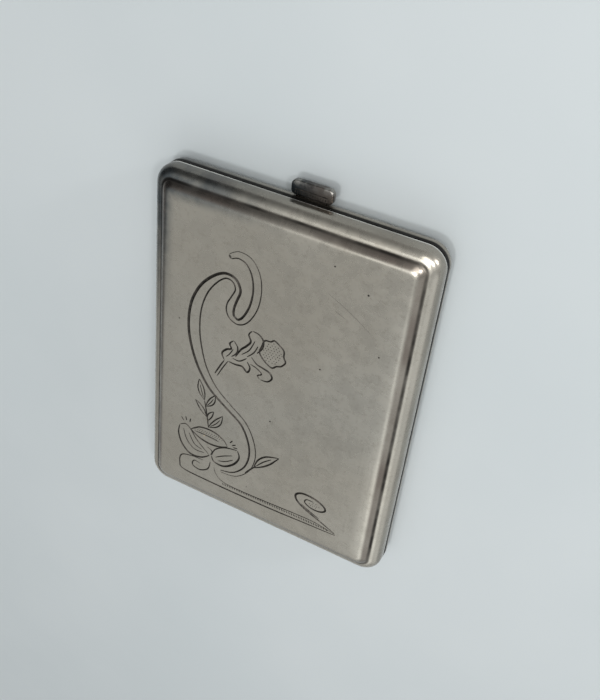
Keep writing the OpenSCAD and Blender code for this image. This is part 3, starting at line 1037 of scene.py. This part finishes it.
def elastic_band(node, body, way):
    """A ribbed band that runs out of one clip, over the leaf and into the other. way is 1 for up."""
    low, high = box_mm(node)
    leaf_high = box_mm(body + "_leaf")[1]
    clip = box_mm(body + "_clip_right")[0].x
    thick = 0.6
    rib_deep, pucker_deep, side_wave = 0.1, 0.03, 0.04
    wave_rate = 2.6
    thinned, edge_w = 0.12, 0.35
    base = low.z if way > 0 else high.z
    drop = high.z - low.z - thick
    width = high.y - low.y
    columns = 120
    rows = 48
    ribs = 9

    def lift(x):
        """The band's rise from the clip to the top of the leaf."""
        t = (clip + 0.1 - abs(x)) / (clip + 0.1 - leaf_high.x + 1)
        t = min(1, max(0, t))
        return drop * t * t * (3 - 2 * t)
    verts = []
    for face in (1, 0):
        for i in range(columns + 1):
            x = low.x + (high.x - low.x) * i / columns
            wave = math.sin(x * wave_rate)
            for j in range(rows + 1):
                v = j / rows
                outward = 2 * v - 1
                rib = abs(math.sin(math.pi * ribs * v))
                pucker = pucker_deep * wave * abs(outward)
                thin = thinned * max(0, 1 - min(v, 1 - v) * width / edge_w)
                ribbed = thick - rib_deep + rib_deep * rib - thin + pucker
                up = ribbed if face else thin - min(0, pucker)
                side = 1 if v > 0.5 else -1
                y = low.y + width * v + side_wave * wave * side * abs(outward) ** 8
                verts.append((x, y, base + way * (lift(x) + min(up, thick))))
    per = rows + 1
    under = (columns + 1) * per
    faces = []
    for i in range(columns):
        for a in range(i * per, i * per + rows):
            faces.append((a, a + per, a + per + 1, a + 1))
            faces.append((under + a, under + a + 1, under + a + per + 1, under + a + per))
        a = i * per
        faces.append((a, under + a, under + a + per, a + per))
        a += rows
        faces.append((a, a + per, under + a + per, under + a))
    for j in range(rows):
        faces.append((j, j + 1, under + j + 1, under + j))
        a = columns * per + j
        faces.append((a, under + a, under + a + 1, a + 1))
    if way < 0:
        faces = [f[::-1] for f in faces]
    band = new_object(body + "_elastic", verts, faces, [ELASTIC], sharp=60)
    dress(band, body, "elastic", node)


elastic_band("back_band", "back", 1)
elastic_band("lid_band", "lid", -1)


# ---------------- CAD nodes that stay

def soften(obj, width_mm):
    """Breaks the node's sharp edges without changing its size."""
    modifier = obj.modifiers.new("edge", "BEVEL")
    modifier.width = width_mm * MM
    modifier.segments = 2
    modifier.limit_method = "ANGLE"
    modifier.angle_limit = math.radians(35)
    modifier.harden_normals = True


def material_for(name):
    """A CAD node's material, and the width in millimetres that its edges are broken by."""
    if name in ("back_shell", "lid_shell"):
        return SHELL_SILVER, 0
    if "knuckle" in name or "flange" in name or name == "catch_lever":
        return SILVER, 0.05
    if name in ("hinge_pin", "catch_pin", "catch_spring"):
        return STEEL, 0.04
    if name == "thumb_piece":
        return DARK, 0
    if name.endswith("_leaf"):
        return FELT, 0
    if name.endswith("_band"):
        return ELASTIC, 0
    return GILT, 0.05


for name, obj in frame["nodes"].items():
    material, edge = material_for(name)
    for material_slot in obj.material_slots:
        material_slot.material = material
    if edge:
        soften(obj, edge)


# ---------------- stage, light and camera

def floor():
    """A wide level floor just below the case."""
    reach = 1.6
    level = -0.05 * MM
    mesh = bpy.data.meshes.new("floor")
    corners = [(x * reach, y * reach, level) for x, y in ((-1, -1), (1, -1), (1, 1), (-1, 1))]
    mesh.from_pydata(corners, [], [(0, 1, 2, 3)])
    mesh.materials.append(painted_floor())
    obj = bpy.data.objects.new("floor", mesh)
    bpy.context.scene.collection.objects.link(obj)


def softbox(name, direction, distance, size, power, colour=(1, 1, 1)):
    """A square area light that faces the case from a direction, with sizes in metres."""
    light = bpy.data.lights.new(name, "AREA")
    light.size = size
    light.energy = power
    light.color = colour
    obj = bpy.data.objects.new(name, light)
    way = Vector(direction).normalized()
    obj.location = way * distance
    obj.rotation_euler = way.to_track_quat("Z", "Y").to_euler()
    bpy.context.scene.collection.objects.link(obj)


ROOM_LEVEL = 0.52        # brightness of the plain room
ROOM_DARKEST = 0.07
# Each patch's direction, the cosines where it is full and where it has gone, and what it adds
ROOM_PATCHES = (
    ((-0.80, 0.56, 0.28), 0.94, 0.71, -0.47),
    ((-0.95, -0.20, 0.25), 0.97, 0.82, -0.28),
    ((-0.12, -0.03, 0.98), 0.997, 0.972, 1.8),
    ((0.08, -0.75, 0.65), 0.994, 0.95, 0.9),
    ((0.62, -0.62, 0.45), 0.97, 0.86, 0.35),
)


def surroundings():
    """A grey room, dark to the left, with bright patches overhead, behind and to the right."""
    g = Graph("room", bpy.data.worlds)
    bpy.context.scene.world = g.owner
    level = ROOM_LEVEL
    for way, full, gone, amount in ROOM_PATCHES:
        facing = g.node("VectorMath", g.direction, Vector(way).normalized(), operation="DOT_PRODUCT")
        level = g.math("ADD", g.ramp(facing.outputs["Value"], gone, full, 0.0, amount), level)
    background = g.tree.nodes["Background"]
    background.inputs["Color"].default_value = (0.96, 0.99, 1.0, 1)
    g.tree.links.new(g.math("MAXIMUM", level, ROOM_DARKEST), background.inputs["Strength"])


def camera():
    """Looks down on the face from beyond the thumb piece, to the right."""
    data = bpy.data.cameras.new("camera")
    data.lens = 47.6
    data.sensor_width = 36
    data.clip_start = 0.01
    obj = bpy.data.objects.new("camera", data)
    right = Vector((0.8816, 0.0998, -0.4613)).normalized()
    back = Vector((0.3224, 0.5865, 0.7430)).normalized()
    up = back.cross(right).normalized()
    turn = Matrix((up.cross(back), up, back)).transposed().to_4x4()
    from_hinge_edge = Vector((66.53, 165.25, 144.40))
    place = (from_hinge_edge + Vector((0, HINGE_EDGE, SEAM))) * MM
    obj.matrix_world = Matrix.Translation(place) @ turn
    bpy.context.scene.collection.objects.link(obj)
    bpy.context.scene.camera = obj


floor()
surroundings()
softbox("key", (0.25, 0.45, 0.9), 0.7, 0.35, 1.1, (1.0, 0.98, 0.95))
for number, way in enumerate(((0.14, 0.06, 0.98), (0.56, 0.40, 0.73), (0.80, 0.56, 0.20)), 1):
    softbox("lamp_%d" % number, way, 0.6, 0.06, 0.7)
camera()
bpy.context.scene.view_settings.view_transform = "Standard"
